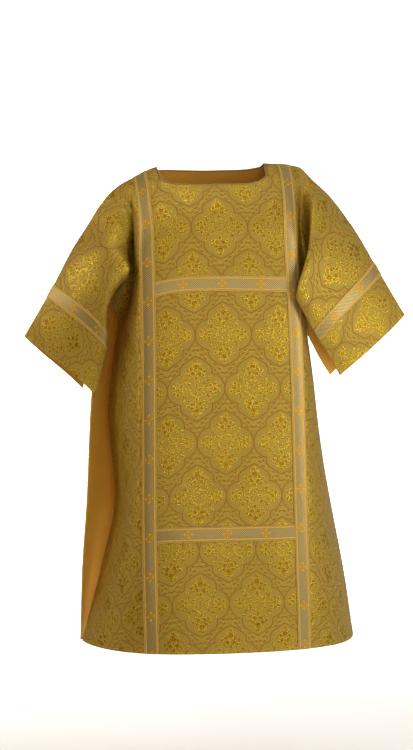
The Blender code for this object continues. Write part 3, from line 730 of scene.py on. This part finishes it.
class Sums:
    """Arithmetic in a material's node tree."""

    def __init__(self, tree):
        self.tree = tree

    def node(self, kind, **settings):
        node = self.tree.nodes.new(kind)
        for name, value in settings.items():
            setattr(node, name, value)
        return node

    def put(self, socket, value):
        if isinstance(value, bpy.types.NodeSocket):
            self.tree.links.new(value, socket)
        else:
            socket.default_value = value

    def do(self, operation, *values, clamp=False):
        node = self.node("ShaderNodeMath", operation=operation, use_clamp=clamp)
        for socket, value in zip(node.inputs, values):
            self.put(socket, value)
        return node.outputs[0]

    def chain(self, operation, total, *values):
        for value in values:
            total = self.do(operation, total, value)
        return total

    def add(self, *values):
        return self.chain("ADD", *values)

    def take(self, a, b):
        return self.do("SUBTRACT", a, b)

    def times(self, *values):
        return self.chain("MULTIPLY", *values)

    def size(self, a):
        return self.do("ABSOLUTE", a)

    def least(self, *values):
        return self.chain("MINIMUM", *values)

    def most(self, *values):
        return self.chain("MAXIMUM", *values)

    def fold(self, value, period):
        """Signed distance to the nearest multiple of a period."""
        return self.take(value, self.times(self.do("ROUND", self.times(value, 1 / period)), period))

    def reach(self, x, y):
        return self.do("SQRT", self.add(self.times(x, x), self.times(y, y)))

    def inside(self, distance, edge):
        """1 where a distance is below 0, 0 above, over a soft edge."""
        return self.do("ADD", self.times(distance, -1 / edge), 0.5, clamp=True)

    def spread(self, value, level, gain, base):
        """A value drawn apart about a level, held between 0 and 1."""
        return self.do("ADD", self.times(self.take(value, level), gain), base, clamp=True)

    def choose(self, which, low, high):
        return self.add(self.times(low, self.take(1.0, which)), self.times(high, which))

    def blend(self, share, low, high):
        node = self.node("ShaderNodeMix", data_type="RGBA")
        self.put(node.inputs[0], share)
        for socket, colour in ((node.inputs[6], low), (node.inputs[7], high)):
            self.put(socket, colour if isinstance(colour, bpy.types.NodeSocket) else (*colour, 1.0))
        return node.outputs[2]

    def noise(self, vector, scale, detail):
        node = self.node("ShaderNodeTexNoise")
        for socket, value in (("Scale", scale), ("Detail", detail), ("Vector", vector)):
            self.put(node.inputs[socket], value)
        return node.outputs["Fac"]

    def dot(self, x, y, radius):
        """Distance to a round dot, below 0 inside it."""
        return self.take(self.reach(x, y), radius)

    def wave(self, value, pitch):
        return self.do("SINE", self.times(value, 2 * math.pi / pitch))

    def ring(self, x, y, radius, count, dot):
        """Distance to a ring of round dots."""
        turn = self.fold(self.do("ARCTAN2", x, y), 2 * math.pi / count)
        out = self.reach(x, y)
        ahead = self.take(self.times(out, self.do("COSINE", turn)), radius)
        return self.dot(ahead, self.times(out, self.do("SINE", turn)), dot)

    def flower(self, x, y, radius, petals, depth):
        """Distance to a petalled disc, below 0 inside it."""
        angle = self.do("ARCTAN2", x, y)
        wave = self.times(self.do("COSINE", self.times(angle, petals)), radius * depth)
        return self.dot(x, y, self.add(wave, radius * (1 - depth)))


def new_material(name, roughness, metallic):
    material = bpy.data.materials.new(name)
    material.use_nodes = True
    shader = material.node_tree.nodes["Principled BSDF"]
    shader.inputs["Roughness"].default_value = roughness
    shader.inputs["Metallic"].default_value = metallic
    return material, shader, Sums(material.node_tree)


def cloth_place(sums):
    node = sums.node("ShaderNodeUVMap", uv_map="cloth")
    split = sums.node("ShaderNodeSeparateXYZ")
    sums.put(split.inputs[0], node.outputs[0])
    return node.outputs[0], split.outputs[0], split.outputs[1]


def raise_surface(sums, shader, height, distance):
    bump = sums.node("ShaderNodeBump")
    for socket, value in (("Strength", 1.0), ("Distance", distance), ("Height", height)):
        sums.put(bump.inputs[socket], value)
    sums.put(shader.inputs["Normal"], bump.outputs[0])


# ---------------------------------------------------------------- brocade

def medallion_edge(sums, wide, tall):
    """Distance to a medallion's edge, below 0 inside it: round side lobes, pointed ones above and below."""
    side_lobe = sums.dot(sums.take(wide, SIDE_LOBE[0]), tall, SIDE_LOBE[1])
    crown = sums.dot(wide, sums.take(tall, CROWN_LOBE[0]), CROWN_LOBE[1])
    slope = sums.times(sums.take(sums.add(tall, sums.times(wide, CROWN_SLOPE)), CROWN_POINT), CROWN_SLANT)
    return sums.least(side_lobe, sums.do("SMOOTH_MAX", crown, slope, 1.0))


def leaf_dashes(sums, wide, tall):
    """Leaf dashes in two rows along the channel between one medallion and the next."""
    wide = sums.take(wide, CHANNEL_START[0])
    tall = sums.take(tall, CHANNEL_START[1])
    lean, rise = CHANNEL_LEAN
    along = sums.add(sums.times(wide, -lean), sums.times(tall, rise))
    beside = sums.add(sums.times(wide, rise), sums.times(tall, lean))
    dashes = []
    for row, shift in LEAF_ROWS:
        place = sums.fold(sums.add(along, shift), LEAF_PITCH)
        tilted = sums.add(sums.take(beside, row), sums.times(place, LEAF_LEAN))
        dashes.append(sums.inside(sums.dot(sums.times(place, LEAF_SLIM), tilted, LEAF_HALF), 0.10))
    return sums.most(*dashes)


def figure_edge(sums, wide, tall):
    """Distance to the woven flowers inside a medallion, below 0 inside them."""
    bar_at, bar_slim, bar_half = SPRAY_BAR
    shorter, radius, half = SCROLL_RING
    shapes = [
        sums.take(sums.most(sums.times(wide, bar_slim), sums.size(sums.take(tall, bar_at))), bar_half),
        sums.ring(sums.take(wide, ROSETTE_AT), tall, *PETAL_RING),
        sums.flower(sums.take(wide, FLOWER_AT[0]), sums.take(tall, FLOWER_AT[1]), *FLOWER_SHAPE),
        sums.take(sums.size(sums.dot(wide, sums.times(tall, shorter), radius)), half),
    ]
    for across, down, narrower, shorter, radius in FIGURE_DOTS:
        x = sums.times(sums.take(wide, across), narrower)
        y = sums.times(sums.take(tall, down), shorter)
        shapes.append(sums.dot(x, y, radius))
    return sums.least(*shapes)


def brocade_figure(sums, across, down):
    """Masks of the woven figure: medallions in a half-drop lattice."""
    x = sums.times(across, CENTIMETRES)
    y = sums.times(sums.take(down, FIGURE_START), CENTIMETRES)
    near_x = sums.size(sums.fold(x, REPEAT_WIDTH))
    near_y = sums.size(sums.fold(y, REPEAT_HEIGHT))
    far_x = sums.take(REPEAT_WIDTH / 2, near_x)
    far_y = sums.take(REPEAT_HEIGHT / 2, near_y)
    medallion = sums.least(medallion_edge(sums, near_x, near_y), medallion_edge(sums, far_x, far_y))
    outline = sums.inside(sums.take(sums.size(medallion), OUTLINE_HALF), 0.10)
    reach = sums.add(sums.times(near_x, 2 / REPEAT_WIDTH), sums.times(near_y, 2 / REPEAT_HEIGHT))
    other = sums.do("GREATER_THAN", reach, 1.0)
    wide = sums.choose(other, near_x, far_x)
    tall = sums.choose(other, near_y, far_y)
    leaves = sums.times(leaf_dashes(sums, wide, tall), sums.do("GREATER_THAN", medallion, 0.30))
    edge = figure_edge(sums, wide, tall)
    figure = sums.inside(sums.take(edge, HALO), 0.12)
    heart = sums.inside(sums.add(edge, HALO), 0.10)
    middle = sums.dot(wide, sums.times(tall, FIELD_LONG[0]), FIELD_LONG[1])
    field = sums.inside(sums.least(middle, sums.dot(sums.take(wide, ROSETTE_AT), tall, FIELD_SIDE)), 0.9)
    channel = sums.inside(sums.take(0.25, medallion), 0.3)
    return figure, heart, sums.most(outline, leaves), field, channel


def make_brocade():
    material, shader, sums = new_material("gold_brocade", 0.48, 0.0)
    vector, across, down = cloth_place(sums)
    figure, heart, lines, field, channel = brocade_figure(sums, across, down)
    speck = sums.noise(vector, SPECK_SCALE, 1.0)
    fleck = sums.noise(vector, FLECK_SCALE, 1.0)
    glitter = sums.spread(fleck, 0.50, 9.0, 0.38)
    figure = sums.times(figure, sums.spread(speck, 0.36, 8.0, 0.5))
    # ground with stray gold and brown specks, then the figure, its lines and its hearts
    amount = sums.add(sums.times(sums.most(field, channel), 0.34), 0.1)
    stray = sums.times(sums.inside(sums.take(STRAY_LEVEL, speck), 0.08), amount)
    grit = sums.times(sums.inside(sums.take(fleck, GRIT_LEVEL), 0.06), field, 0.35)
    colour = sums.blend(sums.noise(vector, CLOUD_SCALE, 2.0), GROUND_DARK, GROUND_LIGHT)
    colour = sums.blend(grit, sums.blend(stray, colour, FIGURE_YELLOW), FIGURE_BROWN)
    colour = sums.blend(figure, colour, sums.blend(glitter, FIGURE_BROWN, FIGURE_YELLOW))
    colour = sums.blend(sums.times(lines, LINE_STRENGTH), colour, LINE_BROWN)
    colour = sums.blend(sums.times(heart, sums.take(0.95, sums.times(glitter, 0.35))), colour, FIGURE_BROWN)
    sums.put(shader.inputs["Base Color"], colour)
    shine = sums.most(sums.times(figure, glitter), stray)
    sums.put(shader.inputs["Metallic"], sums.add(sums.times(shine, 0.60), 0.35))
    sums.put(shader.inputs["Roughness"], sums.take(0.50, sums.times(shine, 0.20)))
    shader.inputs["Specular IOR Level"].default_value = 0.15
    weave = sums.times(sums.wave(down, WEFT_PITCH), sums.wave(across, WARP_PITCH))
    raised = sums.times(sums.most(figure, lines), 0.6)
    height = sums.add(sums.times(weave, 0.10), raised, sums.times(speck, 0.8))
    raise_surface(sums, shader, height, 0.00035)
    return material


def make_lining_cloth():
    material, shader, sums = new_material("orange_lining", 0.55, 0.0)
    vector, across, down = cloth_place(sums)
    sums.put(shader.inputs["Base Color"], sums.blend(sums.noise(vector, 9.0, 2.0), LINING_DARK, LINING_LIGHT))
    weave = sums.wave(sums.add(across, sums.times(down, 0.6)), LINING_PITCH)
    raise_surface(sums, shader, sums.add(sums.times(weave, 0.3), sums.noise(vector, 900.0, 1.0)), 0.0002)
    return material


def stripes(sums, value, half, edge):
    """The crossed threads of the hatching along one slant."""
    return sums.inside(sums.take(sums.size(sums.fold(value, HATCH_PITCH)), half), edge)


def make_galloon():
    material, shader, sums = new_material("gold_galloon", 0.42, 0.0)
    vector, across, down = cloth_place(sums)
    cross = sums.times(across, MILLIMETRES)
    away = sums.size(cross)
    run = sums.times(down, MILLIMETRES)
    tooth = sums.take(BORDER_HALF, sums.times(sums.size(sums.fold(run, TOOTH_PITCH)), TOOTH_SLOPE))
    border = sums.inside(sums.take(sums.size(sums.take(away, BORDER_AT)), tooth), 0.5)
    cord = sums.do("GREATER_THAN", away, EDGE_CORD_FROM)
    # painted shade: a dark line along the groove between the border and the edge cord, which gets no hollow
    # in the height
    painted_groove_shade = sums.inside(sums.take(sums.size(sums.take(away, GROOVE_AT)), GROOVE_HALF), 0.4)
    inner = sums.do("LESS_THAN", away, HATCH_REACH)
    hatch = stripes(sums, sums.add(cross, run), HATCH_HALF, 0.8)
    fine = stripes(sums, sums.take(cross, run), FINE_HALF, 0.6)
    from_floret = sums.size(sums.fold(run, FLORET_PITCH))
    pad = sums.inside(sums.take(sums.add(sums.times(away, PAD_SLIM), from_floret), PAD_REACH), 1.5)
    floret = sums.inside(sums.least(
        sums.dot(away, sums.take(from_floret, LONG_PETAL[0]), LONG_PETAL[1]),
        sums.dot(sums.take(away, SIDE_PETAL[0]), from_floret, SIDE_PETAL[1]),
    ), 0.8)
    trim = sums.most(border, floret)
    colour = sums.blend(sums.times(hatch, inner, 0.95), CHAMPAGNE, HATCH_BROWN)
    colour = sums.blend(sums.times(fine, inner, 0.40), colour, SILVER)
    fleck = sums.noise(vector, 420.0, 1.0)
    colour = sums.blend(sums.times(pad, sums.add(sums.times(fleck, 0.6), 0.35)), colour, PAD_OCHRE)
    colour = sums.blend(trim, colour, ORANGE_YELLOW)
    colour = sums.blend(cord, colour, CORD_COLOUR)
    # the groove line, darkened towards HATCH_BROWN, is painted shade
    sums.put(shader.inputs["Base Color"], sums.blend(sums.times(painted_groove_shade, 0.6), colour, HATCH_BROWN))
    sums.put(shader.inputs["Metallic"], sums.take(0.70, sums.times(trim, 0.45)))
    shader.inputs["Specular IOR Level"].default_value = 0.2
    twist = sums.times(sums.wave(sums.add(run, cross), EDGE_CORD_TWIST), cord)
    height = sums.add(sums.times(hatch, -0.5), border, sums.times(floret, 0.8), sums.times(twist, 0.5))
    raise_surface(sums, shader, height, 0.0004)
    return material


def make_thread(name, colour, metallic):
    material, shader, sums = new_material(name, 0.5, metallic)
    place = sums.node("ShaderNodeTexCoord").outputs["Object"]
    cloud = sums.noise(place, 240.0, 1.0)
    darker = tuple(part * 0.6 for part in colour)
    sums.put(shader.inputs["Base Color"], sums.blend(cloud, darker, colour))
    raise_surface(sums, shader, sums.noise(place, 1400.0, 1.0), 0.0002)
    return material


# ---------------------------------------------------------------- pieces

def band_profile(place):
    """Height of a galloon's face over its width, from -1 to 1: raised cords at the edges."""
    cords = EDGE_CORD_RISE * np.exp(-((np.abs(place) - EDGE_CORD_AT) / EDGE_CORD_WIDTH) ** 2)
    return cords + GALLOON_CROWN * (1 - place ** 2)


def make_band(node, cloth, parts, out, along, galloon):
    """A galloon band over chosen cells; its UV map runs out from its middle and along it."""
    faces = np.concatenate([part.reshape(-1, 4) for part in parts])
    rise = band_profile(np.clip(out / (BAND_WIDTH / 2), -1, 1))
    low = cloth.layer(GAP)
    high = cloth.layer(GAP + GALLOON * GALLOON_GROUND) + cloth.outward * rise[:, None]
    piece = closed_piece(node + "_braid", low, high, faces, np.stack([out, along], axis=-1), galloon)
    finish_piece(piece, [node])
    return piece


def nearest(marks, place):
    return int(np.argmin(np.abs(marks - place)))


def make_bands(face, cloth, galloon):
    """The panel's upright, sleeve and level bands, each with its flat length."""
    across, down = cloth.flat.T
    made = []
    for side in SIDES:
        columns = slice(INNER_COLUMNS, INNER_COLUMNS + BAND_COLUMNS)
        cells = [cloth.grids[side, name][1][:, columns] for name in ("yoke", "body")]
        level = np.clip((down - SLEEVE_DEPTH) / CENTRE_FALL, 0, 1)
        out = across * SIDES[side] - band_centre(level)
        made.append((make_band(face + "_band_" + side, cloth, cells, out, down, galloon), LONG_BAND))
        start = nearest(sleeve_columns(), SLEEVE_BAND_MIDDLE - BAND_WIDTH / 2)
        cells = [cloth.grids[side, "sleeve"][1][:, start:start + BAND_COLUMNS]]
        out = across * SIDES[side] - SLEEVE_BAND_MIDDLE
        node = "sleeve_band_" + face + "_" + side
        made.append((make_band(node, cloth, cells, out, down, galloon), SLEEVE_DEPTH))
    for level, ending in ((CHEST_BAND_LEVEL, "_chest_band"), (LOWER_BAND_LEVEL, "_lower_band")):
        top = nearest(body_levels(), level - BAND_LEVEL_STEP / 2)
        cells = []
        out = np.zeros(len(cloth.flat))
        for side in SIDES:
            numbers, quads = cloth.grids[side, "body"]
            cells.append(quads[top:top + BAND_COLUMNS, :INNER_COLUMNS])
            share = np.linspace(-1, 1, BAND_COLUMNS + 1)[:, None]
            out[numbers[top:top + BAND_COLUMNS + 1]] = share * BAND_WIDTH / 2
        width = 2 * (band_centre(level) - BAND_WIDTH / 2)
        made.append((make_band(face + ending, cloth, cells, out, across, galloon), width))
    return made


def neck_cord(cloths, material):
    """Corded piping round the neck opening, in the cloth's plane."""
    reach = NECK_HALF + CORD_END_REACH
    ring = []
    for face in FACES:
        cloth = cloths[face]
        rows = {side: cloth.grids[side, "yoke"][0][0] for side in SIDES}
        keep = {side: [n for n in rows[side] if abs(cloth.flat[n, 0]) <= reach] for side in SIDES}
        line = keep["right"][::-1] + keep["left"][1:]
        if face == "back":
            line = line[::-1][1:-1]
        ring += [(Vector(cloth.points[n]), Vector(cloth.outward[n])) for n in line]
    centre = sum((point for point, outward in ring), Vector()) / len(ring)
    curve = bpy.data.curves.new("neck_cord", "CURVE")
    curve.dimensions = "3D"
    curve.bevel_depth = PIPING_RADIUS
    curve.bevel_resolution = 3
    spline = curve.splines.new("POLY")
    spline.points.add(len(ring) - 1)
    spline.use_cyclic_u = True
    for number, (point, outward) in enumerate(ring):
        before = ring[number - 1][0]
        after = ring[(number + 1) % len(ring)][0]
        across = (after - before).cross(outward).normalized()
        if across.dot(centre - point) < 0:
            across = -across
        spline.points[number].co = (*(point + across * (PIPING_RADIUS + GAP) - outward * PIPING_DROP), 1)
    piece = add_object("neck_cord", plain_mesh(add_object("cord_path", curve), "neck_cord", material))
    finish_piece(piece, ["neck_piping"])
    return piece


# ---------------------------------------------------------------- stitches

def stitch_tree(material):
    """Nodes that lay small thread stitches end to end along edges."""
    tree = bpy.data.node_groups.new("stitch_row", "GeometryNodeTree")
    tree.interface.new_socket("Geometry", in_out="INPUT", socket_type="NodeSocketGeometry")
    sizes = {}
    for name, value in STITCH_SIZES.items():
        socket = tree.interface.new_socket(name, in_out="INPUT", socket_type="NodeSocketFloat")
        socket.default_value = value
        sizes[name] = socket.identifier
    tree.interface.new_socket("Geometry", in_out="OUTPUT", socket_type="NodeSocketGeometry")
    nodes = tree.nodes
    start = nodes.new("NodeGroupInput")
    end = nodes.new("NodeGroupOutput")
    path = nodes.new("GeometryNodeMeshToCurve")
    points = nodes.new("GeometryNodeCurveToPoints")
    points.mode = "LENGTH"
    thread = nodes.new("GeometryNodeMeshCylinder")
    thread.inputs["Vertices"].default_value = 6
    lay = nodes.new("GeometryNodeInstanceOnPoints")
    real = nodes.new("GeometryNodeRealizeInstances")
    paint = nodes.new("GeometryNodeSetMaterial")
    paint.inputs["Material"].default_value = material
    links = (
        (start, "Geometry", path, "Mesh"), (path, "Curve", points, "Curve"),
        (start, "Pitch", points, "Length"), (start, "Length", thread, "Depth"),
        (start, "Radius", thread, "Radius"), (points, "Points", lay, "Points"),
        (points, "Rotation", lay, "Rotation"),
        (thread, "Mesh", lay, "Instance"), (lay, "Instances", real, "Geometry"),
        (real, "Geometry", paint, "Geometry"), (paint, "Geometry", end, "Geometry"),
    )
    for source, out, target, into in links:
        tree.links.new(source.outputs[out], target.inputs[into])
    return tree, sizes


def stitch_rows(name, lines, material):
    """Stitches along several lines of points."""
    points = []
    edges = []
    for line in lines:
        first = len(points)
        points += [tuple(point) for point in line]
        edges += [(number, number + 1) for number in range(first, len(points) - 1)]
    mesh = bpy.data.meshes.new(name + "_path")
    mesh.from_pydata(points, edges, [])
    holder = add_object(name + "_path", mesh)
    tree, sizes = stitch_tree(material)
    modifier = holder.modifiers.new("stitches", "NODES")
    modifier.node_group = tree
    for size, value in STITCH_SIZES.items():
        modifier[sizes[size]] = value
    piece = add_object(name, plain_mesh(holder, name, material))
    finish_piece(piece, [])
    return piece


def line_inside(layer, edge, next_in, inset):
    """Points along an edge of a layer, drawn in by an inset towards the next line of points."""
    way = layer[next_in] - layer[edge]
    step = np.linalg.norm(way, axis=1, keepdims=True)
    return layer[edge] + way * np.minimum(inset / np.maximum(step, 1e-6), 3.0)


def hem_lines(cloth, distance, inset):
    layer = cloth.layer(distance)
    lines = []
    for side in SIDES:
        body = cloth.grids[side, "body"][0]
        sleeve = cloth.grids[side, "sleeve"][0]
        for rows in (body, body.T, sleeve.T, sleeve):
            lines.append(line_inside(layer, rows[-1], rows[-2], inset))
    return lines


# ---------------------------------------------------------------- putting it together

brocade = make_brocade()
lining = make_lining_cloth()
galloon = make_galloon()
piping = make_thread("piping_cord", PIPING_COLOUR, 0.3)
thread = make_thread("gold_thread", THREAD_COLOUR, 0.3)
lining_thread = make_thread("lining_thread", LINING_THREAD, 0.0)

cloths = {face: Cloth(face) for face in FACES}
share_seam(cloths)
cord = neck_cord(cloths, piping)
lining_top = -BROCADE - GAP
lining_under = lining_top - LINING
short_rows = round(LINING_SHORT * BODY_ROWS / CENTRE_FALL)
for face, cloth in cloths.items():
    panel = closed_piece(
        face + "_cloth", cloth.layer(-BROCADE), cloth.layer(0.0), cloth.faces, cloth.flat, brocade)
    finish_piece(panel, [face])
    lined = []
    for side in SIDES:
        cells = {name: cloth.grids[side, name][1] for name in ("yoke", "sleeve", "body")}
        cells["body"] = cells["body"][:-short_rows]
        lined += [part.reshape(-1, 4) for part in cells.values()]
    silk = closed_piece(
        face + "_lining_cloth", cloth.layer(lining_under), cloth.layer(lining_top), np.concatenate(lined),
        cloth.flat, lining)
    finish_piece(silk, [face + "_lining"])
    bands = make_bands(face, cloth, galloon)
    stitches = stitch_rows(face + "_stitches", hem_lines(cloth, STITCH_LIFT, HEM_INSET), thread)
    inner = stitch_rows(
        face + "_lining_stitches", hem_lines(cloth, lining_under - STITCH_LIFT, LINING_INSET), lining_thread)
    sewn = [stitches] + [piece for piece, length in bands]
    if face == "front":
        sewn.append(cord)


# ---------------------------------------------------------------- floor, light and camera

def make_floor():
    """A floor that turns up into a wall behind, in one sweep."""
    profile = [(-FLOOR_REACH, FLOOR_HEIGHT)]
    for turn in np.linspace(0, math.pi / 2, BACKDROP_STATIONS):
        back = BACKDROP_START + BACKDROP_RADIUS * math.sin(turn)
        profile.append((back, FLOOR_HEIGHT + BACKDROP_RADIUS * (1 - math.cos(turn))))
    profile.append((BACKDROP_START + BACKDROP_RADIUS, FLOOR_HEIGHT + FLOOR_REACH))
    corners = [(x, y, z) for y, z in profile for x in (-FLOOR_REACH, FLOOR_REACH)]
    quads = [(2 * n, 2 * n + 1, 2 * n + 3, 2 * n + 2) for n in range(len(profile) - 1)]
    mesh = bpy.data.meshes.new("floor")
    mesh.from_pydata(corners, [], quads)
    mesh.shade_smooth()
    material, shader, _ = new_material("pale_floor", 0.9, 0.0)
    shader.inputs["Base Color"].default_value = FLOOR_COLOUR
    mesh.materials.append(material)
    floor = add_object("floor", mesh)
    floor.visible_glossy = False
    return floor


def make_world():
    """Soft light all round, warm and dark from one side and pale from the other; white to the camera."""
    world = bpy.data.worlds.new("studio")
    world.use_nodes = True
    sky = Sums(world.node_tree)
    axes = sky.node("ShaderNodeSeparateXYZ")
    sky.put(axes.inputs[0], sky.node("ShaderNodeTexCoord").outputs["Generated"])
    side = sky.do("ADD", sky.times(axes.outputs[0], 0.6), 0.5, clamp=True)
    seen = sky.node("ShaderNodeLightPath").outputs["Is Camera Ray"]
    colour = sky.blend(seen, sky.blend(side, WORLD_SHADE, WORLD_LIGHT), WHITE)
    sky.put(world.node_tree.nodes["Background"].inputs[0], colour)
    return world


def soft_light(name, place, target, size, power):
    data = bpy.data.lights.new(name, "AREA")
    data.shape = "RECTANGLE"
    data.size, data.size_y = size
    data.energy = power
    light = add_object(name, data)
    light.location = place
    light.rotation_euler = (Vector(target) - Vector(place)).to_track_quat("-Z", "Y").to_euler()


def make_camera():
    data = bpy.data.cameras.new("camera")
    data.lens = LENS
    camera = add_object("camera", data)
    turn = math.radians(VIEW_TURN)
    camera.location = (-VIEW_DISTANCE * math.sin(turn), -VIEW_DISTANCE * math.cos(turn), VIEW_HEIGHT)
    camera.rotation_euler = (math.pi / 2, 0.0, -turn)
    return camera


make_floor()
for light in LIGHTS:
    soft_light(*light)
scene = bpy.context.scene
scene.world = make_world()
scene.camera = make_camera()
scene.view_settings.view_transform = "Standard"
